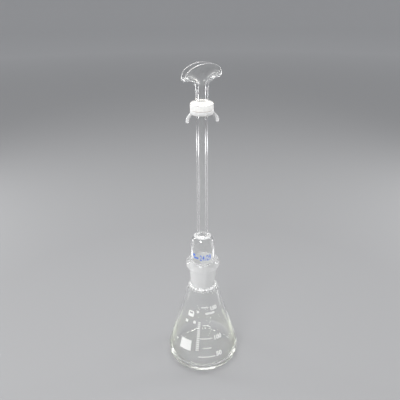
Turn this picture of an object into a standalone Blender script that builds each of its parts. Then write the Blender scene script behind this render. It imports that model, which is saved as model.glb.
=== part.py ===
"""Arsenic test apparatus: a conical flask, a delivery tube on a ground stopper, and a crescent cap.

Metres, +Z up. The origin is the centre of the flask's base, on the surface it stands on.
The glass of each fused piece is modelled as the separate components it is worked from.
"""

import math

import bmesh
import bpy
from mathutils import Matrix, Vector

# Driving dimensions
SEGMENTS = 40               # facets round a turned piece
GAP = 0.0003                # between components that are fused or that rest on each other
GLASS_WALL = 0.0015

CONE_SMALL_RADIUS = 0.01055  # the 24/29 standard joint: 24 mm wide, 29 mm long, taper 1 in 10
CONE_LARGE_RADIUS = 0.0120
CONE_LENGTH = 0.029
CONE_WALL = 0.0016
GROUND_CLEARANCE = 0.0001
EDGE_CHAMFER = 0.0003       # on the ground edges
JOINT_BOTTOM = 0.085
JOINT_TOP = JOINT_BOTTOM + CONE_LENGTH

FLASK_BASE_RADIUS = 0.0319
HEEL_WIDTH = 0.0045         # the heel's rounding is an ellipse
HEEL_HEIGHT = 0.009
PUSH_UP_RADIUS = 0.024      # the base is raised inside this radius, so it stands on a flat ring
PUSH_UP_HEIGHT = 0.0016
PUSH_UP_CURVE = ((0.85, 0.45), (0.5, 0.85))  # shares of the radius and of the height
WALL_SLOPE = math.radians(17.0)
SHOULDER_RADIUS = 0.0018
SHOULDER_TOP = 0.0864
CROWN_END = 96.0            # degrees on the shoulder's arc, just past its crown, where it meets the neck
NECK_RADIUS = 0.01215
NECK_TOP_RADIUS = 0.01385
NECK_STRAIGHT = 0.0030      # the neck widens above this height over its foot
RIM_RADIUS = 0.01665
RIM_BOTTOM = JOINT_TOP - 0.0105
RIM_TOP_ROUNDING = 0.0036
RIM_TOP_DEPTH = 0.0032      # of the rim's widest point below the mouth
RIM_FOOT_ROUNDING = (0.0032, 0.0046)
RIM_FOOT_DEPTH = 0.0045
MOUTH_DEPTH = 0.0004        # of the ground bore's end below the mouth

DOME_RADIUS = 0.01175
DOME_SIDE_TOP = 0.1330
DOME_TOP = 0.1423
DOME_WALL = 0.0015
DOME_CROWN_DROP = 0.0008    # of the outer curve's crown below the weld with the tube
TUBE_BOTTOM_RADIUS = 0.0054
TUBE_TOP_RADIUS = 0.0050
TUBE_BORE_RADIUS = 0.0030
FLANGE_RADIUS = 0.0103
FLANGE_BOTTOM = 0.2600
FLANGE_TOP = 0.2640
FLANGE_ROUNDING = 0.0020
FLANGE_CHAMFER = 0.0002

HOOK_RADIUS = 0.0013
HOOK_BEAD_RADIUS = 0.0015
HOOK_TURN = math.radians(10.0)
HOOK_ROOT = 0.00993         # distance of a hook's root from the tube's axis
HOOK_ROOT_HEIGHT = FLANGE_BOTTOM + 0.00038
HOOK_TIP_HEIGHT = 0.2542
HOOK_STEPS = 8
LEFT_HOOK_REACH = 0.0129    # distance of a hook's tip from the tube's axis
RIGHT_HOOK_REACH = 0.0140

PAPER_RADIUS = 0.0096
PAPER_THICKNESS = 0.00025
PAPER_GAP = 0.0001

CAP_BOTTOM = FLANGE_TOP + 2 * PAPER_GAP + PAPER_THICKNESS
CAP_FLANGE_TOP = 0.2713
CAP_ROUNDING = 0.0023
STEM_RADIUS = 0.0055
STEM_TOP = 0.2842
HEAD_TURN = math.radians(25.0)
HEAD_TILT = math.radians(5.0)
HEAD_HALF_LENGTH = 0.0180
HEAD_HALF_WIDTH = 0.0059
HEAD_END_HEIGHT = 0.2940    # the lip at the head's two ends
HEAD_TOP = 0.3039
HEAD_ARCH_REACH = 0.95      # the part of the half length that the lip's arch covers
HEAD_WALL = 0.0016
HEAD_LIP_RADIUS = 0.0025
HEAD_FILLET_SHARE = 0.7     # the part of the way from stem to lip that the fillet takes
HEAD_ROWS = 10


def empty_scene():
    for item in list(bpy.data.objects):
        bpy.data.objects.remove(item, do_unlink=True)


def collection_named(name):
    group = bpy.data.collections.new(name)
    bpy.context.scene.collection.children.link(group)
    return group


def material_named(name, colour, roughness, transmission):
    finish = bpy.data.materials.new(name)
    finish.use_nodes = True
    shader = finish.node_tree.nodes["Principled BSDF"]
    shader.inputs["Base Color"].default_value = (*colour, 1.0)
    shader.inputs["Roughness"].default_value = roughness
    shader.inputs["Metallic"].default_value = 0.0
    shader.inputs["Transmission Weight"].default_value = transmission
    shader.inputs["IOR"].default_value = 1.47
    return finish


def clear_glass(name):
    return material_named(name, (0.95, 0.98, 0.95), 0.02, 1.0)


def ground_glass(name):
    return material_named(name, (0.93, 0.94, 0.93), 0.55, 0.6)


def shade_round(mesh):
    mesh.shade_smooth()
    mesh.set_sharp_from_angle(angle=math.radians(35))


def arc(centre, radii, first, last, steps):
    """Points (r, z) on an ellipse, from angle first to angle last in degrees, both included."""
    points = []
    for step in range(steps + 1):
        turn = math.radians(first + (last - first) * step / steps)
        points.append((centre[0] + radii[0] * math.cos(turn), centre[1] + radii[1] * math.sin(turn)))
    return points


def turned(name, profile, finish, closed=True, wall=None):
    """A profile turned about Z. It runs up the inner side and down the outer side.

    An open profile that ends on the axis is the outer skin of a shell, thickened inwards by wall.
    """
    shape = bmesh.new()
    corners = [shape.verts.new((r, 0.0, z)) for r, z in profile]
    for start, end in zip(corners, corners[1:]):
        shape.edges.new((start, end))
    if closed:
        shape.edges.new((corners[-1], corners[0]))
    mesh = bpy.data.meshes.new(name)
    shape.to_mesh(mesh)
    shape.free()
    piece = bpy.data.objects.new(name, mesh)
    PARTS.objects.link(piece)
    screw = piece.modifiers.new("Turn", "SCREW")
    screw.steps = SEGMENTS
    screw.render_steps = SEGMENTS
    screw.use_merge_vertices = True
    screw.merge_threshold = 0.00001
    screw.use_smooth_shade = True
    if wall:
        shell = piece.modifiers.new("Wall", "SOLIDIFY")
        shell.thickness = wall
        shell.offset = -1.0
        shell.use_even_offset = True
    mesh.materials.append(finish)
    return piece


def make_flask_body():
    """The conical vessel: shoulder, straight wall, heel and a base that stands on a flat ring."""
    slope = math.degrees(WALL_SLOPE)
    heel_centre = (FLASK_BASE_RADIUS, HEEL_HEIGHT)
    # The heel leaves its ellipse where it runs in line with the wall.
    heel_end = math.degrees(math.atan(math.tan(WALL_SLOPE) * HEEL_HEIGHT / HEEL_WIDTH))
    heel = arc(heel_centre, (HEEL_WIDTH, HEEL_HEIGHT), heel_end, -90.0, 9)
    shoulder_centre = (
        NECK_RADIUS + GAP - SHOULDER_RADIUS * math.cos(math.radians(CROWN_END)),
        SHOULDER_TOP - SHOULDER_RADIUS,
    )
    shoulder = arc(shoulder_centre, (SHOULDER_RADIUS, SHOULDER_RADIUS), CROWN_END, slope, 6)
    wall = []
    for step in (0.25, 0.5, 0.75):
        wall.append(
            (
                shoulder[-1][0] + (heel[0][0] - shoulder[-1][0]) * step,
                shoulder[-1][1] + (heel[0][1] - shoulder[-1][1]) * step,
            )
        )
    push_up = [
        (PUSH_UP_RADIUS, 0.0),
        *((PUSH_UP_RADIUS * out, PUSH_UP_HEIGHT * up) for out, up in PUSH_UP_CURVE),
        (0.0, PUSH_UP_HEIGHT),
    ]
    profile = shoulder + wall + heel + push_up
    return turned("flask_body", profile, clear_glass("flask_body_glass"), closed=False, wall=GLASS_WALL)


def make_neck_socket():
    """The flask's ground socket with its thick rounded rim."""
    bore_bottom = CONE_SMALL_RADIUS + GROUND_CLEARANCE
    bore_top = CONE_LARGE_RADIUS + GROUND_CLEARANCE
    rim_top = arc(
        (RIM_RADIUS - RIM_TOP_ROUNDING, JOINT_TOP - RIM_TOP_DEPTH),
        (RIM_TOP_ROUNDING, RIM_TOP_ROUNDING),
        105.0,
        0.0,
        6,
    )
    rim_foot = arc(
        (RIM_RADIUS - RIM_FOOT_ROUNDING[0], JOINT_TOP - RIM_FOOT_DEPTH),
        RIM_FOOT_ROUNDING,
        0.0,
        -62.0,
        4,
    )
    profile = [
        (bore_bottom, JOINT_BOTTOM),
        (bore_top, JOINT_TOP - MOUTH_DEPTH),
        *rim_top,
        *rim_foot,
        (NECK_TOP_RADIUS, RIM_BOTTOM),
        (NECK_RADIUS, JOINT_BOTTOM + NECK_STRAIGHT),
        (NECK_RADIUS, JOINT_BOTTOM + EDGE_CHAMFER),
        (NECK_RADIUS - EDGE_CHAMFER, JOINT_BOTTOM),
    ]
    return turned("neck_socket", profile, ground_glass("neck_socket_glass"))


def make_ground_cone():
    """The hollow ground cone that seats in the socket, open at its foot."""
    profile = [
        (CONE_SMALL_RADIUS - CONE_WALL, JOINT_BOTTOM),
        (CONE_LARGE_RADIUS - CONE_WALL, JOINT_TOP),
        (CONE_LARGE_RADIUS, JOINT_TOP),
        (CONE_SMALL_RADIUS, JOINT_BOTTOM + EDGE_CHAMFER),
        (CONE_SMALL_RADIUS - EDGE_CHAMFER, JOINT_BOTTOM),
    ]
    return turned("ground_cone", profile, ground_glass("ground_cone_glass"))


def make_stopper_dome():
    """The clear hollow top of the stopper, drawn in to the width of the tube."""
    inner_radius = DOME_RADIUS - DOME_WALL
    inner_height = DOME_TOP - DOME_SIDE_TOP - DOME_WALL
    inside = arc(
        (TUBE_BORE_RADIUS, DOME_SIDE_TOP),
        (inner_radius - TUBE_BORE_RADIUS, inner_height),
        0.0,
        90.0,
        7,
    )
    outside = arc(
        (TUBE_BOTTOM_RADIUS, DOME_SIDE_TOP),
        (DOME_RADIUS - TUBE_BOTTOM_RADIUS, DOME_TOP - DOME_SIDE_TOP - DOME_CROWN_DROP),
        84.0,
        0.0,
        8,
    )
    profile = [
        (CONE_LARGE_RADIUS - CONE_WALL, JOINT_TOP + GAP),
        *inside,
        (TUBE_BORE_RADIUS, DOME_TOP),
        (TUBE_BOTTOM_RADIUS, DOME_TOP),
        *outside,
        (CONE_LARGE_RADIUS, JOINT_TOP + GAP),
    ]
    return turned("stopper_dome", profile, clear_glass("stopper_dome_glass"))


def make_delivery_tube():
    """The straight tube that carries the gas up to the test paper."""
    bottom = DOME_TOP + GAP
    top = FLANGE_BOTTOM - GAP
    profile = [
        (TUBE_BORE_RADIUS, bottom),
        (TUBE_BORE_RADIUS, top),
        (TUBE_TOP_RADIUS, top),
        (TUBE_BOTTOM_RADIUS, bottom),
    ]
    return turned("delivery_tube", profile, clear_glass("delivery_tube_glass"))


def make_tube_flange():
    """The flange at the tube's end, ground flat on top and rounded below."""
    underside = arc(
        (FLANGE_RADIUS - FLANGE_ROUNDING, FLANGE_BOTTOM + FLANGE_ROUNDING),
        (FLANGE_ROUNDING, FLANGE_ROUNDING),
        0.0,
        -90.0,
        5,
    )
    profile = [
        (TUBE_BORE_RADIUS, FLANGE_BOTTOM),
        (TUBE_BORE_RADIUS, FLANGE_TOP),
        (FLANGE_RADIUS - FLANGE_CHAMFER, FLANGE_TOP),
        (FLANGE_RADIUS, FLANGE_TOP - FLANGE_CHAMFER),
        *underside,
    ]
    return turned("tube_flange", profile, clear_glass("tube_flange_glass"))


def make_hook(name, side, reach):
    """A glass rod that curves out and down from the flange and ends in a bead.

    side is +1 or -1 along X before the pair is turned, and reach is the tip's distance
    from the tube's axis.
    """
    drop = HOOK_ROOT_HEIGHT - HOOK_TIP_HEIGHT
    route = []
    for step in range(HOOK_STEPS + 1):
        along = step / HOOK_STEPS
        # The rod leaves slanting outwards and hangs straight down at its tip.
        out = HOOK_ROOT + (reach - HOOK_ROOT) * math.sin(along * math.pi / 2) ** 0.9
        down = HOOK_ROOT_HEIGHT - drop * (0.35 * along + 0.65 * along**1.4)
        route.append(Vector((side * out, 0.0, down)))
    path = bpy.data.curves.new(name + "_path", "CURVE")
    path.dimensions = "3D"
    path.bevel_depth = HOOK_RADIUS
    path.bevel_resolution = 3
    path.use_fill_caps = True
    spline = path.splines.new("POLY")
    spline.points.add(len(route) - 1)
    for point, place in zip(spline.points, route):
        point.co = (*place, 1.0)
    rod_curve = bpy.data.objects.new(name + "_path", path)
    PARTS.objects.link(rod_curve)
    graph = bpy.context.evaluated_depsgraph_get()
    mesh = bpy.data.meshes.new_from_object(rod_curve.evaluated_get(graph))
    bpy.data.objects.remove(rod_curve, do_unlink=True)
    shape = bmesh.new()
    shape.from_mesh(mesh)
    bmesh.ops.remove_doubles(shape, verts=shape.verts, dist=0.000001)
    bmesh.ops.recalc_face_normals(shape, faces=shape.faces)
    shape.to_mesh(mesh)
    shape.free()
    mesh.name = name
    hook = bpy.data.objects.new(name, mesh)
    PARTS.objects.link(hook)

    ball = bmesh.new()
    bmesh.ops.create_uvsphere(ball, u_segments=14, v_segments=9, radius=HOOK_BEAD_RADIUS)
    bmesh.ops.translate(ball, verts=ball.verts, vec=route[-1])
    bead_mesh = bpy.data.meshes.new(name + "_bead")
    ball.to_mesh(bead_mesh)
    ball.free()
    bead = bpy.data.objects.new(name + "_bead", bead_mesh)
    CUTTERS.objects.link(bead)
    bead.hide_render = True
    bead.display_type = "WIRE"
    join = hook.modifiers.new("Bead", "BOOLEAN")
    join.operation = "UNION"
    join.solver = "EXACT"
    join.object = bead
    for item in (hook, bead):
        item.matrix_world = Matrix.Rotation(HOOK_TURN, 4, "Z")
    shade_round(mesh)
    mesh.materials.append(clear_glass(name + "_glass"))
    return hook


def make_test_paper():
    """The disc of test paper that is clamped between the two ground faces."""
    bottom = FLANGE_TOP + PAPER_GAP
    profile = [
        (0.0, bottom + PAPER_THICKNESS),
        (PAPER_RADIUS, bottom + PAPER_THICKNESS),
        (PAPER_RADIUS, bottom),
        (0.0, bottom),
    ]
    paper = material_named("test_paper_fibre", (0.90, 0.89, 0.84), 0.9, 0.0)
    return turned("test_paper", profile, paper, closed=False)


def make_cap_flange():
    """The cap's flange, ground flat below and rounded above."""
    shoulder = arc(
        (FLANGE_RADIUS - CAP_ROUNDING, CAP_FLANGE_TOP - CAP_ROUNDING),
        (CAP_ROUNDING, CAP_ROUNDING),
        90.0,
        0.0,
        6,
    )
    profile = [
        (TUBE_BORE_RADIUS, CAP_BOTTOM),
        (TUBE_BORE_RADIUS, CAP_FLANGE_TOP),
        *shoulder,
        (FLANGE_RADIUS, CAP_BOTTOM + EDGE_CHAMFER),
        (FLANGE_RADIUS - EDGE_CHAMFER, CAP_BOTTOM),
    ]
    return turned("cap_flange", profile, clear_glass("cap_flange_glass"))


def make_cap_stem():
    """The short tube between the cap's flange and its crescent head."""
    bottom = CAP_FLANGE_TOP + GAP
    profile = [
        (TUBE_BORE_RADIUS, bottom),
        (TUBE_BORE_RADIUS, STEM_TOP),
        (STEM_RADIUS, STEM_TOP),
        (STEM_RADIUS, bottom),
    ]
    return turned("cap_stem", profile, clear_glass("cap_stem_glass"))


def head_section(along):
    """Half length, half width, end height and middle height of the head's section.

    along runs from 0 at the stem to 1 at the lip.
    """
    bottom = STEM_TOP + GAP
    fillet_length = HEAD_HALF_LENGTH - HEAD_LIP_RADIUS
    fillet_top = HEAD_END_HEIGHT - HEAD_LIP_RADIUS
    if along < HEAD_FILLET_SHARE:
        turn = along / HEAD_FILLET_SHARE * math.pi / 2
        half_length = fillet_length - (fillet_length - STEM_RADIUS) * math.cos(turn)
        end = bottom + (fillet_top - bottom) * math.sin(turn)
    else:
        turn = (along - HEAD_FILLET_SHARE) / (1.0 - HEAD_FILLET_SHARE) * math.pi / 2
        half_length = fillet_length + HEAD_LIP_RADIUS * math.sin(turn)
        end = HEAD_END_HEIGHT - HEAD_LIP_RADIUS * math.cos(turn)
    half_width = STEM_RADIUS + (HEAD_HALF_WIDTH - STEM_RADIUS) * along
    middle = bottom + (HEAD_TOP - bottom) * along
    return half_length, half_width, end, middle


def make_cap_head():
    """The fan-shaped head: a flattened flare whose open mouth is a crescent-shaped groove."""
    shape = bmesh.new()
    rings = []
    for row in range(HEAD_ROWS + 1):
        along = row / HEAD_ROWS
        half_length, half_width, end, middle = head_section(along)
        squareness = 2.0 + 3.0 * along  # a circle at the stem, nearer a slot at the lip
        ring = []
        for step in range(SEGMENTS):
            turn = 2 * math.pi * step / SEGMENTS
            across = math.cos(turn)
            depth = max(0.0, 1.0 - abs(across) ** squareness) ** (1.0 / squareness)
            arch = math.sqrt(1.0 - min(1.0, abs(across) / HEAD_ARCH_REACH) ** 2)
            lean = math.tan(HEAD_TILT) * half_length * across * along
            place = (
                half_length * across,
                math.copysign(half_width * depth, math.sin(turn)),
                end + (middle - end) * arch + lean,
            )
            ring.append(shape.verts.new(place))
        rings.append(ring)
    for lower, upper in zip(rings, rings[1:]):
        for step in range(SEGMENTS):
            following = (step + 1) % SEGMENTS
            shape.faces.new((lower[step], lower[following], upper[following], upper[step]))
    mesh = bpy.data.meshes.new("cap_head")
    shape.to_mesh(mesh)
    shape.free()
    shade_round(mesh)
    head = bpy.data.objects.new("cap_head", mesh)
    PARTS.objects.link(head)
    head.rotation_euler = (0.0, 0.0, HEAD_TURN)
    shell = head.modifiers.new("Wall", "SOLIDIFY")
    shell.thickness = HEAD_WALL
    shell.offset = -1.0
    mesh.materials.append(clear_glass("cap_head_glass"))
    return head


def build():
    make_flask_body()
    make_neck_socket()
    make_ground_cone()
    make_stopper_dome()
    make_delivery_tube()
    make_tube_flange()
    make_hook("hook_left", -1.0, LEFT_HOOK_REACH)
    make_hook("hook_right", 1.0, RIGHT_HOOK_REACH)
    make_test_paper()
    make_cap_flange()
    make_cap_stem()
    make_cap_head()


empty_scene()
PARTS = collection_named("arsenic_test_apparatus")
CUTTERS = collection_named("cutters")
build()
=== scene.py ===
"""The look of the arsenic test apparatus: fused glass, ground joint, enamel scale and test paper.

Metres, +Z up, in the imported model's frame. The camera looks along +Y.
"""

import math

import bmesh
import bpy
import numpy as np
from mathutils import Matrix, Vector


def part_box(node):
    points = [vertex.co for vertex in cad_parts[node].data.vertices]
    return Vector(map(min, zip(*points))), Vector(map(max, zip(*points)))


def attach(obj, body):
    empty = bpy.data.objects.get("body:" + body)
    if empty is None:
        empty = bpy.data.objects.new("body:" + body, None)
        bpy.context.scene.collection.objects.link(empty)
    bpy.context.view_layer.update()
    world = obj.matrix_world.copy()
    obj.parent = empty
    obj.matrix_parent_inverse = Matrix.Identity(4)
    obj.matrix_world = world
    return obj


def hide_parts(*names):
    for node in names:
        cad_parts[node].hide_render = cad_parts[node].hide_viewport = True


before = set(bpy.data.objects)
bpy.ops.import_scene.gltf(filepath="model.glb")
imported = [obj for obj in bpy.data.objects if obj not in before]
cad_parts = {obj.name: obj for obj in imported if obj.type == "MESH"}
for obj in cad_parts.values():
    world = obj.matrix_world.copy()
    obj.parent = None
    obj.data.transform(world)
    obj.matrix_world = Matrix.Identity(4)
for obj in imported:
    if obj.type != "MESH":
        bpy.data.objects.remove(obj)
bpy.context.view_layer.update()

# ---------------------------------------------------------------- sizes

AROUND = 144                     # points round a turned piece
SHARP = math.radians(35.0)       # an edge that turns more than this stays sharp
FUSED_SHARP = math.radians(40.0)    # the same, where two skins are fused

BODY_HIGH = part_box("flask_body")[1]
NECK_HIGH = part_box("neck_socket")[1]
CONE_LOW, CONE_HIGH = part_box("ground_cone")
DOME_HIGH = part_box("stopper_dome")[1]
TUBE_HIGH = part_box("delivery_tube")[1]
FLANGE_LOW, FLANGE_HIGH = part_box("tube_flange")
PAPER_LOW, PAPER_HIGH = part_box("test_paper")
CAP_LOW, CAP_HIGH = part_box("cap_flange")
STEM_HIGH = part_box("cap_stem")[1]

WALL = 0.0015                    # of the blown glass
CONE_WALL = 0.0016               # of the stopper's ground cone

BASE_RADIUS = BODY_HIGH.x        # widest, at the heel
HEEL_WIDTH = 0.0045
HEEL_HEIGHT = 0.009
PUSH_UP_RADIUS = 0.024
PUSH_UP_HEIGHT = 0.0016
PUSH_UP_LEVEL = 0.014            # radius out to which the pushed-up bottom is nearly level
BASE_THICKNESS = 0.0020          # of the pushed-up bottom
WALL_SLOPE = math.radians(17.0)
SHOULDER_TOP = BODY_HIGH.z
SHOULDER_RADIUS = 0.0018

JOINT_BOTTOM = CONE_LOW.z
JOINT_TOP = CONE_HIGH.z
CONE_TOP_RADIUS = CONE_HIGH.x
CONE_FOOT_RADIUS = CONE_TOP_RADIUS - (JOINT_TOP - JOINT_BOTTOM) / 20    # it narrows by 1 in 10 across
GROUND_CLEARANCE = 0.0001
NECK_RADIUS = 0.01215
NECK_TOP_RADIUS = 0.01385
RIM_RADIUS = NECK_HIGH.x
RIM_BOTTOM = JOINT_TOP - 0.0105
RIM_FLARE = (0.0032, 0.0046)     # width and height of the curve under the rim
RIM_BEAD = 0.0036                # radius of the rim's round top

DOME_RADIUS = 0.01175
DOME_SIDE_TOP = 0.1330
DOME_TOP = DOME_HIGH.z
TUBE_FOOT_RADIUS = TUBE_HIGH.x
TUBE_TOP_RADIUS = 0.0050
STEM_RADIUS = STEM_HIGH.x
BORE_RADIUS = 0.0030
FLANGE_RADIUS = FLANGE_HIGH.x
FLANGE_ROUND = 0.0020            # of the tube flange's lower edge
CAP_ROUND = 0.0023               # of the cap flange's upper edge
FACE_EDGE = 0.0003               # bevel of the two ground faces, at the rim and at the bore

HEAD_TURN = math.radians(25.0)
HEAD_TILT = math.radians(5.0)
HEAD_HALF_LENGTH = 0.0180
HEAD_HALF_WIDTH = 0.0059
HEAD_END_HEIGHT = 0.2940
HEAD_TOP = 0.3039
HEAD_ARCH_REACH = 0.95
HEAD_WALL = 0.0016
HEAD_LIP_RADIUS = 0.0025
HEAD_FLARE_SHARE = 0.7           # of the way up the head, where its flared ends turn up into the lip
HEAD_THICK_SHARE = 0.4           # of the way up, over which the wall thins from the stem's to its own
HEAD_SWELL = 0.0012              # how much thicker the wall gets at the two ends
HEAD_ROWS = 30

# How uneven the hand-worked surfaces are
FLASK_WANDER = 0.00004
FLASK_INNER_WANDER = 0.00012
TRUE_RADIUS = 0.004              # nearer the axis than this the flask's bottom isn't uneven
DOME_WANDER = 0.00003
DOME_INNER_WANDER = 0.00008
TUBE_WANDER = 0.00002
BORE_WANDER = 0.00006
FLASK_FOLDS = 0.0012             # of the weld inside the flask's shoulder
LOWER_FOLDS = 0.0007             # where those folds run out into the wall
FOLDS_START = 0.0006             # how far below the ground socket they start
FOLDS_FADE = 0.005               # the height over which they run out
DOME_FOLDS = 0.0001              # of the weld between dome and tube

CLEAR, GROUND, WELDED = range(3)    # the material places of a glass skin


# ---------------------------------------------------------------- materials

GLASS_IOR = 1.47                 # borosilicate


class Nodes:
    """Short calls for building one material's node tree."""

    def __init__(self, name):
        self.material = bpy.data.materials.new(name)
        self.material.use_nodes = True
        self.tree = self.material.node_tree
        self.tree.nodes.clear()
        self.output = self.tree.nodes.new("ShaderNodeOutputMaterial")

    def add(self, kind, **settings):
        node = self.tree.nodes.new("ShaderNode" + kind)
        for key, value in settings.items():
            setattr(node, key, value)
        return node

    def link(self, source, target):
        self.tree.links.new(source, target)

    def place(self):
        """The point on the piece, in metres."""
        return self.add("TexCoord").outputs["Object"]

    def noise(self, scale, detail=3.0, roughness=0.55, stretch=None):
        """Noise in object space, closer along an axis with a larger stretch."""
        place = self.place()
        texture = self.add("TexNoise")
        texture.inputs["Scale"].default_value = scale
        texture.inputs["Detail"].default_value = detail
        texture.inputs["Roughness"].default_value = roughness
        if stretch:
            mapping = self.add("Mapping")
            mapping.inputs["Scale"].default_value = stretch
            self.link(place, mapping.inputs["Vector"])
            place = mapping.outputs["Vector"]
        self.link(place, texture.inputs["Vector"])
        return texture.outputs["Fac"]

    def spread(self, value, low, high, start=0.0, end=1.0):
        """value from start..end mapped to low..high."""
        node = self.add("MapRange")
        node.inputs["From Min"].default_value = start
        node.inputs["From Max"].default_value = end
        node.inputs["To Min"].default_value = low
        node.inputs["To Max"].default_value = high
        self.link(value, node.inputs["Value"])
        return node.outputs["Result"]

    def ramp(self, value, stops):
        """value turned into a colour by stops of (place, colour)."""
        node = self.add("ValToRGB")
        band = node.color_ramp
        while len(band.elements) < len(stops):
            band.elements.new(0.5)
        for element, (place, colour) in zip(band.elements, stops):
            element.position = place
            element.color = (*colour, 1.0)
        self.link(value, node.inputs["Fac"])
        return node.outputs["Color"]

    def bump(self, height, strength, distance):
        node = self.add("Bump")
        node.inputs["Strength"].default_value = strength
        node.inputs["Distance"].default_value = distance
        self.link(height, node.inputs["Height"])
        return node.outputs["Normal"]

    def scaled_sum(self, value, scale, other):
        """value times scale, plus other."""
        node = self.add("Math", operation="MULTIPLY_ADD")
        node.inputs[1].default_value = scale
        self.link(value, node.inputs[0])
        self.link(other, node.inputs[2])
        return node.outputs["Value"]

    def mix(self, share, shader, other):
        """shader, with other in its place by share, which is a number or another node's value."""
        node = self.add("MixShader")
        if isinstance(share, float):
            node.inputs[0].default_value = share
        else:
            self.link(share, node.inputs[0])
        self.link(shader, node.inputs[1])
        self.link(other, node.inputs[2])
        return node.outputs["Shader"]

    def principled(self, **values):
        node = self.add("BsdfPrincipled")
        for key, value in values.items():
            node.inputs[key.replace("_", " ")].default_value = value
        return node


def let_light_through(n, shader, middle, edge):
    """Light from lamps and from matt surfaces goes through, so that what stands in the glass is lit.

    The glass keeps a soft shadow: a ray that meets it squarely keeps the share middle, and one that
    grazes it the share edge.
    """
    path = n.add("LightPath")
    facing = n.add("LayerWeight")
    facing.inputs["Blend"].default_value = 0.5
    through = n.add("BsdfTransparent")
    shares = [(0.5, (middle,) * 3), (1.0, (edge,) * 3)]
    n.link(n.ramp(facing.outputs["Facing"], shares), through.inputs["Color"])
    for ray in ("Is Diffuse Ray", "Is Shadow Ray"):
        shader = n.mix(path.outputs[ray], shader, through.outputs["BSDF"])
    n.link(shader, n.output.inputs["Surface"])


def clear_glass(name, foot, ripple=0.35, stretch=(1.0, 1.0, 0.35), haze=0.0):
    """Blown borosilicate: slow ripples drawn along its length, and a faint film of handling.

    Below the height foot, where the glass is thick, it is yellow-green where light runs far through it.
    haze is how far its milky patches hide what is behind them.
    """
    n = Nodes(name)
    glass = n.principled(Transmission_Weight=1.0, IOR=GLASS_IOR)
    film = n.noise(240.0, 4.0)
    n.link(n.spread(film, 0.0, 0.05, start=0.45, end=0.8), glass.inputs["Roughness"])
    split = n.add("SeparateXYZ")
    n.link(n.place(), split.inputs["Vector"])
    depth = n.spread(split.outputs["Z"], 1.0, 0.0, start=0.3 * foot, end=foot)
    facing = n.add("LayerWeight")
    facing.inputs["Blend"].default_value = 0.5
    far = n.add("Math", operation="MULTIPLY")
    n.link(facing.outputs["Facing"], far.inputs[0])
    n.link(depth, far.inputs[1])
    tints = [(0.25, (0.995, 0.998, 0.993)), (0.9, (0.93, 0.975, 0.76))]
    n.link(n.ramp(far.outputs["Value"], tints), glass.inputs["Base Color"])
    patches = n.noise(150.0, 4.0, 0.6, stretch)
    clear = n.spread(patches, 1.0, 1.0 - haze, start=0.48, end=0.7)
    n.link(clear, glass.inputs["Transmission Weight"])
    waves = n.noise(75.0, 2.0, 0.4, stretch)
    n.link(n.bump(waves, ripple, 0.0006), glass.inputs["Normal"])
    let_light_through(n, glass.outputs["BSDF"], middle=0.98, edge=0.45)
    return n.material


def ground_glass(name):
    """A ground face: white, with a fine even grain and faint turning marks."""
    n = Nodes(name)
    ground = n.principled(Transmission_Weight=0.25, IOR=GLASS_IOR)
    grain = n.noise(5200.0, 2.0)
    cloud = n.noise(130.0, 3.0)
    rings = n.noise(900.0, 2.0, 0.5, (0.05, 0.05, 1.0))
    whites = [(0.3, (0.95, 0.95, 0.945)), (0.7, (0.985, 0.985, 0.98))]
    n.link(n.ramp(cloud, whites), ground.inputs["Base Color"])
    n.link(n.spread(grain, 0.5, 0.72), ground.inputs["Roughness"])
    marks = n.scaled_sum(rings, 0.5, grain)
    n.link(n.bump(marks, 0.25, 0.0001), ground.inputs["Normal"])
    glow = n.add("BsdfTranslucent")
    glow.inputs["Color"].default_value = (0.97, 0.97, 0.965, 1.0)
    shader = n.mix(0.2, ground.outputs["BSDF"], glow.outputs["BSDF"])
    let_light_through(n, shader, middle=0.85, edge=0.6)
    return n.material


def weld_glass(name, relief, clear):
    """Glass worked in the flame: thick, full of fine folds and seeds that scatter the light.

    relief is how strongly its folds stand out, and clear the share of light that it lets through unscattered.
    """
    n = Nodes(name)
    weld = n.principled(Transmission_Weight=clear, IOR=GLASS_IOR)
    seeds = n.noise(1400.0, 3.0)
    folds = n.noise(420.0, 2.0, 0.5, (1.0, 1.0, 0.5))
    whites = [(0.35, (0.90, 0.90, 0.89)), (0.6, (0.99, 0.99, 0.985))]
    n.link(n.ramp(seeds, whites), weld.inputs["Base Color"])
    n.link(n.spread(folds, 0.05, 0.5, start=0.4, end=0.6), weld.inputs["Roughness"])
    n.link(n.bump(folds, relief, 0.0008), weld.inputs["Normal"])
    let_light_through(n, weld.outputs["BSDF"], middle=0.95, edge=0.5)
    return n.material


def enamel(name, pale, deep):
    """Fired ceramic print: matt, slightly uneven in cover."""
    n = Nodes(name)
    shader = n.principled(IOR=1.5)
    cover = n.noise(1900.0, 4.0, 0.6)
    n.link(n.ramp(cover, [(0.32, deep), (0.6, pale)]), shader.inputs["Base Color"])
    n.link(n.spread(cover, 0.55, 0.35), shader.inputs["Roughness"])
    n.link(n.bump(cover, 0.3, 0.00005), shader.inputs["Normal"])
    n.link(shader.outputs["BSDF"], n.output.inputs["Surface"])
    return n.material


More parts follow.
